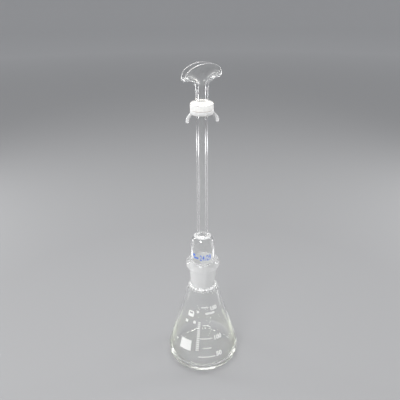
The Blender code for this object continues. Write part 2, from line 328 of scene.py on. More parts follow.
def paper_fibre(name):
    """Test paper: felted fibres, with painted shade of the gap between the ground flanges, brown and darker
    towards its cut edge.
    """
    n = Nodes(name)
    paper = n.principled(IOR=1.45)
    split = n.add("SeparateXYZ")
    n.link(n.place(), split.inputs["Vector"])
    flat = n.add("CombineXYZ")
    n.link(split.outputs["X"], flat.inputs["X"])
    n.link(split.outputs["Y"], flat.inputs["Y"])
    radius = n.add("VectorMath", operation="LENGTH")
    n.link(flat.outputs["Vector"], radius.inputs[0])
    fibre = n.noise(1500.0, 6.0, 0.7)
    # Painted shade: the paper darkens to brown towards its cut edge, standing in for the shade in the gap
    # between the ground flanges
    shade_wobble = n.noise(260.0, 3.0)
    edge = n.scaled_sum(shade_wobble, 0.0014, radius.outputs["Value"])
    gap_shade = n.spread(edge, 0.0, 1.0, start=0.0078, end=0.0104)
    shade_browns = [(0.0, (0.80, 0.76, 0.62)), (0.6, (0.62, 0.47, 0.28)), (1.0, (0.36, 0.21, 0.10))]
    n.link(n.ramp(gap_shade, shade_browns), paper.inputs["Base Color"])
    n.link(n.spread(fibre, 0.8, 1.0), paper.inputs["Roughness"])
    n.link(n.bump(fibre, 0.6, 0.0001), paper.inputs["Normal"])
    n.link(paper.outputs["BSDF"], n.output.inputs["Surface"])
    return n.material


# ---------------------------------------------------------------- shapes

def arc(centre, radii, first, last, steps):
    """Points (r, z) on an ellipse, from angle first to angle last in degrees, both included."""
    turns = np.radians(np.linspace(first, last, steps + 1))
    return [(centre[0] + radii[0] * math.cos(t), centre[1] + radii[1] * math.sin(t)) for t in turns]


def run(start, end, steps):
    """Points from start to end, without the two ends."""
    return [
        tuple(s + (e - s) * step / steps for s, e in zip(start, end))
        for step in range(1, steps)
    ]


def soft(start, end, pull_start, pull_end, steps):
    """Points on a curve that leaves start along pull_start and reaches end from pull_end, ends left out."""
    corners = (start, pull_start, pull_end, end)
    points = []
    for step in range(1, steps):
        t = step / steps
        weights = ((1 - t) ** 3, 3 * t * (1 - t) ** 2, 3 * t * t * (1 - t), t**3)
        points.append(tuple(sum(w * c[axis] for w, c in zip(weights, corners)) for axis in range(2)))
    return points


def skin(name, rings, bands, materials, closed):
    """A mesh over rings of points. bands gives the material place of the band above each ring.

    A ring of one point closes the skin, and a closed skin joins its last ring to its first.
    """
    points = []
    starts = []
    for ring in rings:
        starts.append(len(points))
        points.extend(ring)
    faces = []
    kinds = []
    pairs = list(zip(range(len(rings) - 1), range(1, len(rings))))
    if closed:
        pairs.append((len(rings) - 1, 0))
    for band, (lower, upper) in enumerate(pairs):
        low, high = starts[lower], starts[upper]
        count = max(len(rings[lower]), len(rings[upper]))
        for step in range(count):
            after = (step + 1) % count
            if len(rings[lower]) == 1:
                face = (low, high + after, high + step)
            elif len(rings[upper]) == 1:
                face = (low + step, low + after, high)
            else:
                face = (low + step, low + after, high + after, high + step)
            faces.append(face)
            kinds.append(bands[band])
    mesh = bpy.data.meshes.new(name)
    mesh.from_pydata([tuple(p) for p in points], [], faces)
    mesh.validate()
    for material in materials:
        mesh.materials.append(material)
    mesh.polygons.foreach_set("material_index", kinds)
    return finished(name, mesh)


def finished(name, mesh):
    """An object of the mesh, with its faces turned outwards and smooth but for real edges."""
    shape = bmesh.new()
    shape.from_mesh(mesh)
    bmesh.ops.recalc_face_normals(shape, faces=shape.faces)
    shape.to_mesh(mesh)
    shape.free()
    mesh.shade_smooth()
    mesh.set_sharp_from_angle(angle=SHARP)
    piece = bpy.data.objects.new(name, mesh)
    bpy.context.scene.collection.objects.link(piece)
    return piece


def evaluated_mesh(source):
    """A new mesh of the object as it shows, with its modifiers or its curve worked out."""
    bpy.context.view_layer.update()
    graph = bpy.context.evaluated_depsgraph_get()
    return bpy.data.meshes.new_from_object(source.evaluated_get(graph))


def circle(r, z, uneven=None):
    """A ring of points at radius r and height z, moved outwards by uneven(turn)."""
    if r < 1e-6:
        return [(0.0, 0.0, z)]
    points = []
    for step in range(AROUND):
        turn = 2 * math.pi * step / AROUND
        reach = r + (uneven(turn) if uneven else 0.0)
        points.append((reach * math.cos(turn), reach * math.sin(turn), z))
    return points


def wander(turn, z, size):
    """The slow unevenness of hand-blown glass, up to about size."""
    return size * (
        0.5 * math.sin(2 * turn + 61 * z)
        + 0.3 * math.sin(3 * turn - 97 * z + 1.1)
        + 0.2 * math.sin(5 * turn + 143 * z + 2.3)
    )


def pinch(turn, z, size):
    """The close, irregular folds of a weld, up to about size."""
    return size * (
        0.45 * math.sin(9 * turn + 1500 * z + 0.4)
        + 0.35 * math.sin(14 * turn - 2100 * z + 1.9)
        + 0.2 * math.sin(23 * turn + 900 * z + 0.7)
    )


# ---------------------------------------------------------------- flask

def heel_end():
    """The angle on the heel's ellipse where it runs in line with the wall."""
    return math.degrees(math.atan(math.tan(WALL_SLOPE) * HEEL_HEIGHT / HEEL_WIDTH))


HEEL = (HEEL_WIDTH, HEEL_HEIGHT)
HEEL_CENTRE = (BASE_RADIUS - HEEL_WIDTH, HEEL_HEIGHT)
SHOULDER = (SHOULDER_RADIUS, SHOULDER_RADIUS)
SHOULDER_CENTRE = (NECK_RADIUS + 0.0005, SHOULDER_TOP - SHOULDER_RADIUS)
WALL_FOOT = arc(HEEL_CENTRE, HEEL, heel_end(), 0.0, 1)[0]
WALL_HEAD = arc(SHOULDER_CENTRE, SHOULDER, math.degrees(WALL_SLOPE), 0.0, 1)[0]


def make_flask(glass, ground, weld_finish):
    """One skin of glass: up the outside to the rim, down through the ground socket, and along the inside."""
    slope = math.degrees(WALL_SLOPE)
    bottom = (0.0, PUSH_UP_HEIGHT)
    outside = [
        bottom,
        *soft(bottom, (PUSH_UP_RADIUS, 0.0), (PUSH_UP_LEVEL, PUSH_UP_HEIGHT), (0.021, 0.0), 12),
        (PUSH_UP_RADIUS, 0.0),
        (0.028, 0.0),
        *arc(HEEL_CENTRE, HEEL, -90.0, heel_end(), 22),
        *run(WALL_FOOT, WALL_HEAD, 36),
        *arc(SHOULDER_CENTRE, SHOULDER, slope, 72.0, 7),
    ]
    weld_top = (NECK_RADIUS, SHOULDER_TOP + 0.0022)
    outside += [
        *soft(
            outside[-1],
            weld_top,
            (NECK_RADIUS + 0.0005, SHOULDER_TOP),
            (NECK_RADIUS, SHOULDER_TOP + 0.0008),
            6,
        ),
        weld_top,
    ]
    neck = [
        *run(weld_top, (NECK_TOP_RADIUS, RIM_BOTTOM), 12),
        *arc((RIM_RADIUS - RIM_FLARE[0], JOINT_TOP - 0.0045), RIM_FLARE, -62.0, 0.0, 9),
        *arc((RIM_RADIUS - RIM_BEAD, JOINT_TOP - 0.0032), (RIM_BEAD, RIM_BEAD), 0.0, 105.0, 16),
    ]
    bore_top = (CONE_TOP_RADIUS + GROUND_CLEARANCE, JOINT_TOP - 0.0004)
    bore_foot = (CONE_FOOT_RADIUS + GROUND_CLEARANCE, JOINT_BOTTOM)
    lip = arc((bore_top[0] + 0.0007, bore_top[1]), (0.0007, 0.0006), 110.0, 180.0, 5)
    socket = run(bore_top, bore_foot, 20)
    inner_shoulder = (SHOULDER_RADIUS - 0.0003, SHOULDER_RADIUS)
    inner_centre = (SHOULDER_CENTRE[0] - WALL + 0.0003, SHOULDER_CENTRE[1] - WALL)
    inner_head = arc(inner_centre, inner_shoulder, slope, 0.0, 1)[0]
    inner_heel = arc(
        (HEEL_CENTRE[0] - 0.0040, HEEL_HEIGHT + 0.0020),
        (HEEL_WIDTH + 0.0014, HEEL_HEIGHT - 0.0004),
        heel_end(),
        -90.0,
        18,
    )
    weld = [
        bore_foot,
        (bore_foot[0], JOINT_BOTTOM - 0.0007),
        (bore_foot[0] + 0.0003, JOINT_BOTTOM - 0.0013),
        (bore_foot[0] + 0.0007, JOINT_BOTTOM - 0.0017),
        *arc(inner_centre, inner_shoulder, 80.0, slope, 6),
    ]
    inner_top = (0.0, PUSH_UP_HEIGHT + BASE_THICKNESS)
    inside = [
        *run(inner_head, inner_heel[0], 36),
        *inner_heel,
        *soft(inner_heel[-1], inner_top, (0.022, inner_heel[-1][1]), (PUSH_UP_LEVEL, inner_top[1]), 12),
        inner_top,
    ]
    rings = []
    bands = []
    stretches = (
        (outside, CLEAR, FLASK_WANDER),
        (neck, CLEAR, 0.0),
        (lip, CLEAR, 0.0),
        (socket, GROUND, 0.0),
        (weld, WELDED, 0.0),
        (inside, CLEAR, FLASK_INNER_WANDER),
    )
    folds_end = inner_head[1] - FOLDS_FADE
    for stretch, kind, move in stretches:
        for r, z in stretch:
            if stretch is weld and z < JOINT_BOTTOM - FOLDS_START:
                ring = circle(r, z, lambda turn: abs(pinch(turn, z, FLASK_FOLDS)))
            elif stretch is inside and z > folds_end:
                folds = LOWER_FOLDS * ((z - inner_head[1] + FOLDS_FADE) / FOLDS_FADE)
                ring = circle(r, z, lambda turn: pinch(turn, z, folds) + wander(turn, z, move))
            elif r > TRUE_RADIUS and (stretch is inside or z > HEEL_HEIGHT):
                ring = circle(r, z, lambda turn: wander(turn, z, move))
            else:
                ring = circle(r, z)
            rings.append(ring)
            bands.append(kind)
    flask = skin("flask_glass", rings, bands, [glass, ground, weld_finish], closed=False)
    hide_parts("flask_body", "neck_socket")
    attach(flask, "flask")


# ---------------------------------------------------------------- print

PRINT_THICKNESS = 0.00012
PRINT_LIFT = 0.00009             # of the print's middle above the glass
PRINT_CUT = 0.0006               # widest flat strip of a print that is bent round the glass

# Volume in mL, its height, and where its line starts and ends, in degrees from the front
SCALE_LINES = (
    (150, 0.0682, -6.0, 16.3),
    (125, 0.0502, -1.6, 13.7),
    (100, 0.0367, -6.6, 18.9),
    (75, 0.0270, -1.4, 15.3),
    (50, 0.0181, -9.2, 20.9),
)
LINE_WIDTH = 0.0010
# The size of the figures beside a line, and how far their middle is above it
FIGURES = {
    150: (0.0052, -0.0016),
    100: (0.0060, 0.0),
    50: (0.0064, 0.0018),
}
FIGURE_GAP = 0.0011
FIGURE_MIDDLE = 0.35             # height of a figure's middle, as a share of its size
FIGURE_STROKE = 0.055            # how much its strokes are thickened, as a share of its size
JOINT_FIGURE_SIZE = 0.0082
JOINT_FIGURE_WIDTH = 0.55        # of a figure's own width
JOINT_FIGURE_STROKE = 0.014
JOINT_PRINT_HEIGHT = 0.0072      # of the print's middle above the joint
DOT_PITCH = 0.0021
DOT_LEAN = 0.00006               # how far each dot stands to the left of the one above
DOT_COUNT = 15


def print_shape(name, sources, thickness):
    """Flat curves or texts joined into one thin mesh, cut fine enough to bend."""
    shape = bmesh.new()
    for source in sources:
        bpy.context.scene.collection.objects.link(source)
        source.data.extrude = thickness / 2
        mesh = evaluated_mesh(source)
        mesh.transform(source.matrix_world)
        shape.from_mesh(mesh)
        bpy.data.meshes.remove(mesh)
        bpy.data.objects.remove(source, do_unlink=True)
    bmesh.ops.remove_doubles(shape, verts=shape.verts, dist=1e-7)
    reach = [v.co.x for v in shape.verts]
    low, high = min(reach), max(reach)
    cuts = int((high - low) / PRINT_CUT)
    for cut in range(1, cuts):
        place = low + (high - low) * cut / cuts
        bmesh.ops.bisect_plane(
            shape,
            geom=[*shape.verts, *shape.edges, *shape.faces],
            plane_co=(place, 0.0, 0.0),
            plane_no=(1.0, 0.0, 0.0),
        )
    mesh = bpy.data.meshes.new(name)
    shape.to_mesh(mesh)
    shape.free()
    return mesh


def text(words, size, place):
    """Figures of about 0.7 times size in height, with their lower left corner at place."""
    data = bpy.data.curves.new(words, "FONT")
    data.body = words
    data.size = size
    data.resolution_u = 5
    data.offset = size * FIGURE_STROKE
    piece = bpy.data.objects.new(words, data)
    piece.location = (*place, 0.0)
    return piece


def add_outline(data, points):
    """A closed outline through the points (x, y), added to a flat curve."""
    spline = data.splines.new("POLY")
    spline.points.add(len(points) - 1)
    for point, (x, y) in zip(spline.points, points):
        point.co = (x, y, 0.0, 1.0)
    spline.use_cyclic_u = True


def bar(length, height, place, corner=None):
    """A flat bar with round corners, with the middle of its left end at place."""
    data = bpy.data.curves.new("bar", "CURVE")
    data.dimensions = "2D"
    data.fill_mode = "BOTH"
    corner = height / 2 if corner is None else corner
    outline = []
    for turn, x, y in ((0, length, 1), (90, 0, 1), (180, 0, -1), (270, length, -1)):
        centre_x = x - corner if x else corner
        centre_y = y * (height / 2 - corner)
        for step in range(7):
            angle = math.radians(turn + 15 * step)
            outline.append((centre_x + corner * math.cos(angle), centre_y + corner * math.sin(angle)))
    add_outline(data, outline)
    piece = bpy.data.objects.new("bar", data)
    piece.location = (*place, 0.0)
    return piece


def frame_mark(length, height, line):
    """A plain frame with a solid lower half."""
    outer = bar(length, height, (0.0, 0.0), height / 4)
    left, right = line, length - line
    low, high = line * 0.2, height / 2 - line
    add_outline(outer.data, [(left, low), (right, low), (right, high), (left, high)])
    return outer


def wall_radius(z):
    """The flask's outer radius at height z, on its straight wall."""
    share = (z - WALL_FOOT[1]) / (WALL_HEAD[1] - WALL_FOOT[1])
    return WALL_FOOT[0] + (WALL_HEAD[0] - WALL_FOOT[0]) * share


def on_glass(name, sources, turn, z, radius, slope):
    """A print bent round the glass, with the origin of its sources at turn, in degrees from the front, and z.

    radius is the glass's outer radius at z, and slope is how far its wall leans inwards.
    """
    mesh = print_shape(name, sources, PRINT_THICKNESS)
    for vertex in mesh.vertices:
        across, up, out = vertex.co
        angle = math.radians(turn) + across / radius
        lift = PRINT_LIFT + out
        reach = radius - up * math.sin(slope) + lift * math.cos(slope)
        vertex.co = (
            reach * math.sin(angle),
            -reach * math.cos(angle),
            z + up * math.cos(slope) + lift * math.sin(slope),
        )
    return finished(name, mesh)


def on_wall(name, sources, turn, z, finish):
    """A white print on the flask's wall."""
    slope = math.atan2(WALL_FOOT[0] - WALL_HEAD[0], WALL_HEAD[1] - WALL_FOOT[1])
    piece = on_glass(name, sources, turn, z, wall_radius(z), slope)
    piece.data.materials.append(finish)
    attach(piece, "flask")


def make_scale(finish):
    """The volume lines, and figures beside the long ones."""
    for volume, z, start, end in SCALE_LINES:
        length = math.radians(end - start) * wall_radius(z)
        on_wall(f"scale_line_{volume}", [bar(length, LINE_WIDTH, (0.0, 0.0))], start, z, finish)
        if volume in FIGURES:
            size, lift = FIGURES[volume]
            figures = [text(str(volume), size, (length + FIGURE_GAP, lift - FIGURE_MIDDLE * size))]
            on_wall(f"scale_figures_{volume}", figures, start, z, finish)


def make_joint_size(finish):
    """The size of the ground joint, in tall narrow figures on the stopper, with two plain bars beside it."""
    figures = []
    for words, across in (("24", 0.0), ("/", 0.0055), ("29", 0.0068)):
        figure = text(words, JOINT_FIGURE_SIZE, (across, -FIGURE_MIDDLE * JOINT_FIGURE_SIZE))
        figure.data.offset = JOINT_FIGURE_STROKE * JOINT_FIGURE_SIZE
        figure.data.space_character = 1.1
        figure.scale.x = JOINT_FIGURE_WIDTH
        figures.append(figure)
    marks = [bar(0.0030, 0.0022, (0.0, 0.0022), 0.0004), bar(0.0052, 0.0016, (0.0012, -0.0006), 0.0004)]
    for name, sources, turn in (("joint_size", figures, -14.0), ("joint_mark", marks, -52.0)):
        piece = on_glass(name, sources, turn, JOINT_TOP + JOINT_PRINT_HEIGHT, DOME_RADIUS, 0.0)
        piece.data.materials.append(finish)
        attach(piece, "gas_tube")


def make_plain_marks(finish):
    """Plain bars, a frame and a ladder of dots, where such a flask carries its maker's small print."""
    origin = (0.0, 0.0)
    on_wall("small_bar_upper", [bar(0.0098, 0.0022, origin, 0.0005)], 6.0, 0.0620, finish)
    places = [(-DOT_LEAN * step, -DOT_PITCH * step) for step in range(DOT_COUNT)]
    dots = [bar(0.0026, 0.0012, place, 0.0004) for place in places]
    on_wall("dot_ladder", dots, -12.5, 0.0530, finish)
    on_wall("small_frame", [frame_mark(0.0066, 0.0062, 0.0013)], -42.0, 0.0605, finish)
    on_wall("small_dot", [bar(0.0026, 0.0026, origin)], -18.0, 0.0636, finish)
    on_wall("small_bar_lower", [bar(0.0030, 0.0028, origin, 0.0004)], -46.0, 0.0520, finish)
    on_wall("small_bar_middle", [bar(0.0026, 0.0030, origin, 0.0004)], -24.0, 0.0528, finish)


def make_marking_field(finish):
    """The square that the user writes on."""
    on_wall("marking_field", [bar(0.0127, 0.0112, (0.0, 0.0), 0.0006)], -46.5, 0.0282, finish)


# ---------------------------------------------------------------- stopper, tube and hooks

HOOK_RADIUS = 0.0013
HOOK_BEAD_RADIUS = 0.0015
HOOK_TURN = math.radians(10.0)
HOOK_ROOT = 0.0086               # distance of the rod's root from the axis, inside the flange
HOOK_ROOT_HEIGHT = 0.0016        # of the root above the flange's underside
HOOK_STEPS = 26
HOOK_AROUND = 28                 # points round the rod


def make_gas_tube(glass, ground, weld_finish):
    """Ground cone, dome, tube and flange as one skin, open from the foot of the cone to the flange's face."""
    inner_foot = CONE_FOOT_RADIUS - CONE_WALL
    inner_joint_top = (CONE_TOP_RADIUS - CONE_WALL, JOINT_TOP)
    foot = [
        (inner_foot, JOINT_BOTTOM + 0.0002),
        *arc((inner_foot + 0.0005, JOINT_BOTTOM + 0.0005), (0.0005, 0.0005), 225.0, 270.0, 3),
        *arc((CONE_FOOT_RADIUS - 0.0005, JOINT_BOTTOM + 0.0005), (0.0005, 0.0005), 270.0, 345.0, 4),
    ]
    ground_foot = (CONE_FOOT_RADIUS, JOINT_BOTTOM + 0.0008)
    ground_top = (CONE_TOP_RADIUS, JOINT_TOP)
    ground_side = [ground_foot, *run(ground_foot, ground_top, 20), ground_top]
    side = [
        (CONE_TOP_RADIUS - 0.0001, JOINT_TOP + 0.0006),
        (DOME_RADIUS + 0.00005, JOINT_TOP + 0.0016),
        *run((DOME_RADIUS, JOINT_TOP + 0.0030), (DOME_RADIUS, DOME_SIDE_TOP), 12),
    ]
    dome = arc(
        (TUBE_FOOT_RADIUS, DOME_SIDE_TOP),
        (DOME_RADIUS - TUBE_FOOT_RADIUS, DOME_TOP - DOME_SIDE_TOP - 0.0012),
        0.0,
        74.0,
        16,
    )
    dome, weld_edge = dome[:-4], dome[-4:]
    weld_top = (TUBE_FOOT_RADIUS, DOME_TOP + 0.0012)
    root = soft(
        weld_edge[-1],
        weld_top,
        (weld_edge[-1][0] - 0.0009, weld_edge[-1][1] + 0.0003),
        (TUBE_FOOT_RADIUS, DOME_TOP - 0.0008),
        8,
    )
    weld = [*weld_edge, *root[:3]]
    root = [*root[3:], weld_top]
    flange_foot = (TUBE_TOP_RADIUS, FLANGE_LOW.z - 0.0012)
    tube = [
        *run(weld_top, flange_foot, 60),
        flange_foot,
        *soft(
            flange_foot,
            (FLANGE_RADIUS - FLANGE_ROUND, FLANGE_LOW.z),
            (TUBE_TOP_RADIUS, FLANGE_LOW.z - 0.0004),
            (FLANGE_RADIUS - 0.0034, FLANGE_LOW.z),
            6,
        ),
    ]
    lower_edge = arc(
        (FLANGE_RADIUS - FLANGE_ROUND, FLANGE_LOW.z + FLANGE_ROUND),
        (FLANGE_ROUND, FLANGE_ROUND),
        -90.0,
        0.0,
        10,
    )
    underside, side_edge = lower_edge[:-5], lower_edge[-5:]
    face_rim = (FLANGE_RADIUS - FACE_EDGE, FLANGE_HIGH.z)
    face_bore = (BORE_RADIUS + FACE_EDGE, FLANGE_HIGH.z)
    face = [
        (FLANGE_RADIUS, FLANGE_HIGH.z - FACE_EDGE),
        (FLANGE_RADIUS - 0.00012, FLANGE_HIGH.z - 0.0001),
        face_rim,
        *run(face_rim, face_bore, 6),
        face_bore,
    ]
    bore_top = (BORE_RADIUS, FLANGE_HIGH.z - FACE_EDGE)
    bore_foot = (BORE_RADIUS, DOME_TOP + 0.0010)
    inner_top = DOME_TOP - WALL
    bore = [
        bore_top,
        *run(bore_top, bore_foot, 50),
        bore_foot,
        *soft(
            bore_foot,
            (BORE_RADIUS + 0.0003, inner_top),
            (BORE_RADIUS, DOME_TOP),
            (BORE_RADIUS, inner_top - 0.0006),
            6,
        ),
    ]
    inner_radius = DOME_RADIUS - WALL
    hollow = [
        *arc(
            (BORE_RADIUS, DOME_SIDE_TOP),
            (inner_radius - BORE_RADIUS, inner_top - DOME_SIDE_TOP),
            86.0,
            0.0,
            16,
        ),
        *run((inner_radius, DOME_SIDE_TOP), inner_joint_top, 12),
        inner_joint_top,
        *run(inner_joint_top, (inner_foot, JOINT_BOTTOM + 0.0005), 20),
    ]
    rings = []
    bands = []
    stretches = (
        (foot, GROUND, 0.0),
        (ground_side, GROUND, 0.0),
        (side, CLEAR, 0.0),
        (dome, CLEAR, DOME_WANDER),
        (weld, WELDED, 0.0),
        (root, CLEAR, 0.0),
        (tube, CLEAR, TUBE_WANDER),
        (underside, CLEAR, 0.0),
        (side_edge, GROUND, 0.0),
        (face, GROUND, 0.0),
        (bore, CLEAR, BORE_WANDER),
        (hollow, CLEAR, DOME_INNER_WANDER),
    )
    for stretch, kind, move in stretches:
        for r, z in stretch:
            if stretch is weld:
                ring = circle(r, z, lambda turn: pinch(turn, z, DOME_FOLDS))
            else:
                ring = circle(r, z, lambda turn: wander(turn, z, move))
            rings.append(ring)
            bands.append(kind)
    tube_piece = skin("gas_tube_glass", rings, bands, [glass, ground, weld_finish], closed=True)
    for side_name in ("left", "right"):
        fuse(tube_piece, make_hook(side_name, weld_finish))
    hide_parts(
        "ground_cone", "stopper_dome", "delivery_tube", "tube_flange", "hook_left", "hook_right"
    )
    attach(tube_piece, "gas_tube")


def make_hook(side_name, finish):
    """A rod drawn out of the flange, down and outwards, that ends in a melted bead."""
    low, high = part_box("hook_" + side_name)
    side = -1.0 if side_name == "left" else 1.0
    reach = max(abs(low.x), abs(high.x)) / math.cos(HOOK_TURN) - HOOK_BEAD_RADIUS
    top = FLANGE_LOW.z + HOOK_ROOT_HEIGHT
    bottom = low.z + HOOK_BEAD_RADIUS
    # The rod runs outwards first, and then turns down
    route = []
    for step in range(HOOK_STEPS + 1):
        along = step / HOOK_STEPS
        out = HOOK_ROOT + (reach - HOOK_ROOT) * math.sin(along * math.pi / 2) ** 0.95
        down = top - (top - bottom) * (0.42 * along + 0.58 * along**1.5)
        route.append(Vector((side * out, 0.0, down)))
    across = Vector((0.0, 1.0, 0.0))

    def ring(place, radius, ahead):
        """Points round place, square to the direction ahead."""
        other = ahead.cross(across)
        return [
            tuple(place + radius * (across * math.cos(t) + other * math.sin(t)))
            for t in np.linspace(0, 2 * math.pi, HOOK_AROUND, endpoint=False)
        ]

    rings = [[tuple(route[0] - (route[1] - route[0]) * 0.2)]]
    for step, place in enumerate(route):
        ahead = route[min(step + 1, HOOK_STEPS)] - route[max(step - 1, 0)]
        ahead.normalize()
        # It is thickest at its root, and thinnest before half its length
        waist = math.sin(math.pi * min(1.0, step / HOOK_STEPS * 1.25))
        rings.append(ring(place, HOOK_RADIUS * (1.15 - 0.15 * waist), ahead))
    # The melted bead is a ball that covers the rod's end
    centre = route[-1]
    for step in range(1, 9):
        angle = math.radians(-38 + 128 * step / 9)
        place = centre + ahead * HOOK_BEAD_RADIUS * math.sin(angle)
        rings.append(ring(place, HOOK_BEAD_RADIUS * math.cos(angle), ahead))
    rings.append([tuple(centre + ahead * HOOK_BEAD_RADIUS)])
    hook = skin("hook_" + side_name, rings, [0] * len(rings), [finish], closed=False)
    hook.data.transform(Matrix.Rotation(HOOK_TURN, 4, "Z"))
    return hook


def fuse(piece, other):
    """other fused into piece as one skin."""
    modifier = piece.modifiers.new("Fuse", "BOOLEAN")
    modifier.operation = "UNION"
    modifier.solver = "EXACT"
    modifier.object = other
    mesh = evaluated_mesh(piece)
    piece.modifiers.clear()
    piece.data = mesh
    mesh.shade_smooth()
    mesh.set_sharp_from_angle(angle=FUSED_SHARP)
    bpy.data.objects.remove(other, do_unlink=True)


# ---------------------------------------------------------------- paper

PAPER_FUR = 0.00005              # how rough the cut edge is
PAPER_INSET = 0.00008            # keeps the fur inside the CAD's disc
PAPER_EDGE = 0.0001              # width of the crushed edge


def make_paper(finish):
    """The cut disc of test paper, with a slightly furred edge."""
    middle = (PAPER_LOW.z + PAPER_HIGH.z) / 2
    half = (PAPER_HIGH.z - PAPER_LOW.z) / 2
    radius = PAPER_HIGH.x - PAPER_INSET
    flat = radius - PAPER_EDGE
    profile = [
        (0.0, -half),
        *run((0.0, -half), (flat, -half), 10),
        (flat, -half),
        (radius, -half * 0.6),
        (radius, half * 0.6),
        (flat, half),
        *run((flat, half), (0.0, half), 10),
        (0.0, half),
    ]
    rings = []
    for r, z in profile:
        fur = PAPER_FUR if r > 0.8 * radius else 0.0
        rings.append(circle(r, middle + z, lambda turn: fur * math.sin(31 * turn) * math.sin(47 * turn + 1)))
    paper = skin("test_paper_disc", rings, [0] * len(rings), [finish], closed=False)
    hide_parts("test_paper")
    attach(paper, "paper")


# ---------------------------------------------------------------- cap

def head_point(along, turn):
    """A point on the outer skin of the head. along runs from 0 at the stem to 1 at the lip."""
    bottom = STEM_HIGH.z
    top = HEAD_TOP - HEAD_WALL / 2
    ends = HEAD_END_HEIGHT - HEAD_WALL / 2
    flare_length = HEAD_HALF_LENGTH - HEAD_LIP_RADIUS
    if along < HEAD_FLARE_SHARE:
        bend = along / HEAD_FLARE_SHARE * math.pi / 2
        half_length = flare_length - (flare_length - STEM_RADIUS) * math.cos(bend)
        end = bottom + (ends - HEAD_LIP_RADIUS - bottom) * math.sin(bend)
    else:
        bend = (along - HEAD_FLARE_SHARE) / (1.0 - HEAD_FLARE_SHARE) * math.pi / 2
        half_length = flare_length + HEAD_LIP_RADIUS * math.sin(bend)
        end = ends - HEAD_LIP_RADIUS * math.cos(bend)
    half_width = STEM_RADIUS + (HEAD_HALF_WIDTH - STEM_RADIUS) * along
    middle = bottom + (top - bottom) * along
    squareness = 2.0 + 3.0 * along    # a circle at the stem, nearly a rectangle at the lip
    across = math.cos(turn)
    depth = max(0.0, 1.0 - abs(across) ** squareness) ** (1.0 / squareness)
    arch = math.sqrt(1.0 - min(1.0, abs(across) / HEAD_ARCH_REACH) ** 2)
    lean = math.tan(HEAD_TILT) * half_length * across * along
    return np.array((
        half_length * across,
        math.copysign(half_width * depth, math.sin(turn)),
        end + (middle - end) * arch + lean,
    ))


def head_shell(turns):
    """Rows of points on the outside and the inside of the head, and on the round lip between them."""
    shares = [row / HEAD_ROWS for row in range(HEAD_ROWS + 1)]
    outer = np.array([[head_point(share, turn) for turn in turns] for share in shares])
    along_row = np.gradient(outer, axis=0)
    along_turn = np.roll(outer, -1, axis=1) - np.roll(outer, 1, axis=1)
    normals = np.cross(along_turn, along_row)
    normals /= np.linalg.norm(normals, axis=2, keepdims=True)
    if np.dot(normals[0, 0], outer[0, 0] - outer[0].mean(axis=0)) < 0:
        normals = -normals
    at_ends = np.cos(turns)[:, None] ** 2
    inner = outer.copy()
    for row, share in enumerate(shares):
        blend = min(1.0, share / HEAD_THICK_SHARE)
        blend = blend * blend * (3 - 2 * blend)
        thickness = (STEM_RADIUS - BORE_RADIUS) * (1 - blend) + HEAD_WALL * blend
        swell = HEAD_SWELL * max(0.0, math.sin(math.pi * min(1.0, share / 0.9)))
        inner[row] = outer[row] - normals[row] * (thickness + swell * at_ends)
    middle = (outer[-1] + inner[-1]) / 2
    half = (outer[-1] - inner[-1]) / 2
    upward = along_row[-1] / np.linalg.norm(along_row[-1], axis=1, keepdims=True)
    lip = [
        middle - half * math.cos(t) + upward * HEAD_WALL / 2 * math.sin(t)
        for t in np.linspace(0, math.pi, 11)[1:-1]
    ]
    return outer, inner, lip


def make_cap(glass, ground):
    """Flange, stem and fan-shaped head as one skin, with the bore open into the head."""
    turns = [2 * math.pi * (step + 0.5) / AROUND for step in range(AROUND)]
    outer, inner, lip = head_shell(turns)
    shoulder = arc((FLANGE_RADIUS - CAP_ROUND, CAP_HIGH.z - CAP_ROUND), (CAP_ROUND, CAP_ROUND), 90.0, 0.0, 10)
    fillet_top = (STEM_RADIUS, CAP_HIGH.z + 0.0012)
    face_inner = (BORE_RADIUS + FACE_EDGE, CAP_LOW.z)
    face_outer = (FLANGE_RADIUS - FACE_EDGE, CAP_LOW.z)
    bore_start = (BORE_RADIUS, CAP_LOW.z + FACE_EDGE)
    bore = [bore_start, *run(bore_start, (BORE_RADIUS, STEM_HIGH.z), 12)]
    stem = [
        *run((STEM_RADIUS, STEM_HIGH.z), fillet_top, 12),
        fillet_top,
        *soft(
            fillet_top,
            shoulder[0],
            (STEM_RADIUS, CAP_HIGH.z + 0.0004),
            (STEM_RADIUS + 0.0010, CAP_HIGH.z),
            6,
        ),
        *shoulder[:-2],
    ]
    edge = [
        *shoulder[-2:],
        (FLANGE_RADIUS, CAP_LOW.z + FACE_EDGE),
        (FLANGE_RADIUS - 0.00012, CAP_LOW.z + 0.0001),
    ]
    face = [face_outer, *run(face_outer, face_inner, 6)]

    def ring(r, z):
        return np.array([(r * math.cos(t), r * math.sin(t), z) for t in turns])

    rings = [ring(r, z) for r, z in bore]
    rings += list(inner) + lip + list(outer[::-1])
    bands = [CLEAR] * len(rings)
    for stretch, kind in ((stem, CLEAR), (edge, GROUND), (face, GROUND), ([face_inner], CLEAR)):
        rings += [ring(r, z) for r, z in stretch]
        bands += [kind] * len(stretch)
    cap = skin("cap_glass", rings, bands, [glass, ground], closed=True)
    cap.data.transform(Matrix.Rotation(HEAD_TURN, 4, "Z"))
    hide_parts("cap_flange", "cap_stem", "cap_head")
    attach(cap, "cap")


# ---------------------------------------------------------------- studio

FLOOR_DROP = 0.0002              # the floor stays just clear of the glass that stands on it
FLOOR_RADIUS = 4.0               # where the floor starts to rise
COVE_RADIUS = 2.0
BOUNCES = 64                     # light runs far inside a glass wall before it leaves
WORLD_COLOUR = (0.95, 0.97, 1.0, 1.0)
WORLD_LIGHT = 0.40
LAMP_TARGET = (0.0, 0.0, 0.15)   # about half way up the object

CAMERA_PLACE = (-0.0022, -0.411, 0.363)
CAMERA_DOWN = 24.24              # degrees below level
CAMERA_ROLL = -0.45              # degrees, round the line of sight
CAMERA_LENS = 42.93              # mm, on a sensor 36 mm wide


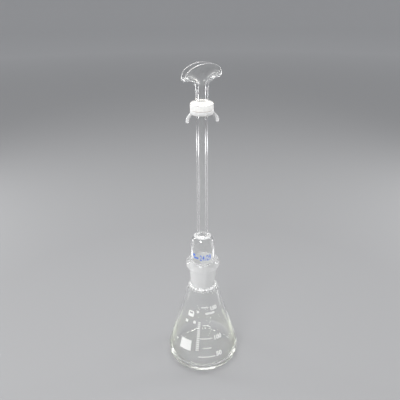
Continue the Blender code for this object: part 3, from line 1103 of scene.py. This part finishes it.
def make_floor():
    """A plain pale floor that rises softly far behind and all round. Its grey is painted light: dark near the
    middle and pale far out, making up for the lamps' light falling off with distance.
    """
    n = Nodes("studio_floor")
    paint = n.principled(IOR=1.45, Roughness=0.6)
    length = n.add("VectorMath", operation="LENGTH")
    n.link(n.place(), length.inputs[0])
    # Painted light: the floor's grey gets paler away from the middle, where the lamps' light falls off
    away = n.spread(length.outputs["Value"], 0.0, 1.0, start=0.3, end=2.6)
    painted_light_greys = [(0.0, (0.29, 0.29, 0.295)), (1.0, (0.72, 0.72, 0.73))]
    n.link(n.ramp(away, painted_light_greys), paint.inputs["Base Color"])
    n.link(paint.outputs["BSDF"], n.output.inputs["Surface"])
    cove = arc((FLOOR_RADIUS, COVE_RADIUS), (COVE_RADIUS, COVE_RADIUS), -90.0, -10.0, 24)
    profile = [(0.0, 0.0), (0.5, 0.0), (2.0, 0.0), *cove]
    rings = [circle(r, z - FLOOR_DROP) for r, z in profile]
    floor = skin("studio_floor", rings, [0] * len(rings), [n.material], closed=False)


def softbox(name, place, size, power):
    """A soft lamp at place that shines at the middle of the object. size is its width and height."""
    light = bpy.data.lights.new(name, "AREA")
    light.shape = "RECTANGLE"
    light.size, light.size_y = size
    light.energy = power
    lamp = bpy.data.objects.new(name, light)
    bpy.context.scene.collection.objects.link(lamp)
    lamp.visible_camera = False
    lamp.location = place
    lamp.rotation_euler = (Vector(LAMP_TARGET) - Vector(place)).to_track_quat("-Z", "Y").to_euler()
    return lamp


def floor_lamp(name, place, size, power, turn):
    """A lamp that lies on the floor, faces up and isn't mirrored. turn is in degrees, round the vertical."""
    lamp = softbox(name, place, size, power)
    lamp.visible_glossy = False
    lamp.rotation_euler = (math.pi, 0.0, math.radians(turn))
    return lamp


def make_studio():
    """The soft light: boxes all round, and small lamps on the floor that are seen only through the glass."""
    scene = bpy.context.scene
    scene.view_settings.view_transform = "Standard"
    for kind in ("max", "glossy", "transmission", "transparent_max"):
        setattr(scene.cycles, kind + "_bounces", BOUNCES)
    world = bpy.data.worlds.new("studio")
    scene.world = world
    world.use_nodes = True
    background = world.node_tree.nodes["Background"]
    background.inputs["Color"].default_value = WORLD_COLOUR
    background.inputs["Strength"].default_value = WORLD_LIGHT
    for name, across in (("left_strip", -0.70), ("right_strip", 0.70)):
        softbox(name, (across, 0.30, 0.42), (0.06, 0.76), 2.8)
    softbox("top_box", (0.0, 0.12, 0.95), (0.50, 0.40), 5.0)
    softbox("front_box", (-0.35, -0.80, 0.85), (0.40, 0.40), 8.0)
    # The crest box is only mirrored, which draws the lines along the top of the head
    crest_box = softbox("crest_box", (0.0, 0.40, 1.10), (0.60, 0.25), 6.0)
    crest_box.visible_diffuse = False
    for side in (-1, 1):
        # far draws the tube's outlines, near the dome's, and foot the yellow-green lower edges of the flask
        place = (side * 0.66, 0.28, 0.003)
        far = floor_lamp(f"floor_panel_{side}", place, (0.14, 0.20), 0.25, 0.0)
        far.visible_diffuse = False
        place = (side * 0.161, 0.135, 0.002)
        near = floor_lamp(f"near_panel_{side}", place, (0.035, 0.17), 0.022, side * 40.0)
        near.visible_diffuse = False
        place = (side * 0.060, 0.036, 0.002)
        foot = floor_lamp(f"edge_strip_{side}", place, (0.026, 0.085), 0.0021, side * 32.0)
        foot.data.shape = "ELLIPSE"
        foot.data.color = (0.93, 1.0, 0.78)


def make_camera():
    """The photograph's viewing angle."""
    data = bpy.data.cameras.new("camera")
    data.sensor_width = 36.0
    data.lens = CAMERA_LENS
    data.clip_start = 0.01
    data.clip_end = 60.0
    camera = bpy.data.objects.new("camera", data)
    bpy.context.scene.collection.objects.link(camera)
    camera.location = CAMERA_PLACE
    pitch = Matrix.Rotation(math.radians(90 - CAMERA_DOWN), 4, "X")
    roll = Matrix.Rotation(math.radians(CAMERA_ROLL), 4, "Z")
    camera.rotation_euler = (pitch @ roll).to_euler()
    bpy.context.scene.camera = camera


def build():
    flask_clear = clear_glass("clear_glass", foot=0.060)
    tube_clear = clear_glass("tube_glass", foot=0.001, ripple=0.3, stretch=(1.0, 1.0, 0.12))
    ground = ground_glass("ground_glass")
    white = enamel("white_enamel", (0.93, 0.93, 0.91), (0.80, 0.80, 0.78))
    blue = enamel("blue_print", (0.10, 0.22, 0.80), (0.20, 0.36, 0.90))
    weld = weld_glass("weld_glass", relief=0.8, clear=0.7)
    smooth_weld = weld_glass("smooth_weld_glass", relief=0.15, clear=0.55)
    make_flask(flask_clear, ground, weld)
    make_scale(white)
    make_marking_field(white)
    make_plain_marks(white)
    make_joint_size(blue)
    make_gas_tube(tube_clear, ground, smooth_weld)
    make_paper(paper_fibre("test_paper_fibre"))
    cap_clear = clear_glass("cap_glass", foot=0.001, ripple=0.9, stretch=(2.2, 2.2, 1.4), haze=0.05)
    make_cap(cap_clear, ground)
    make_floor()
    make_studio()
    make_camera()


build()
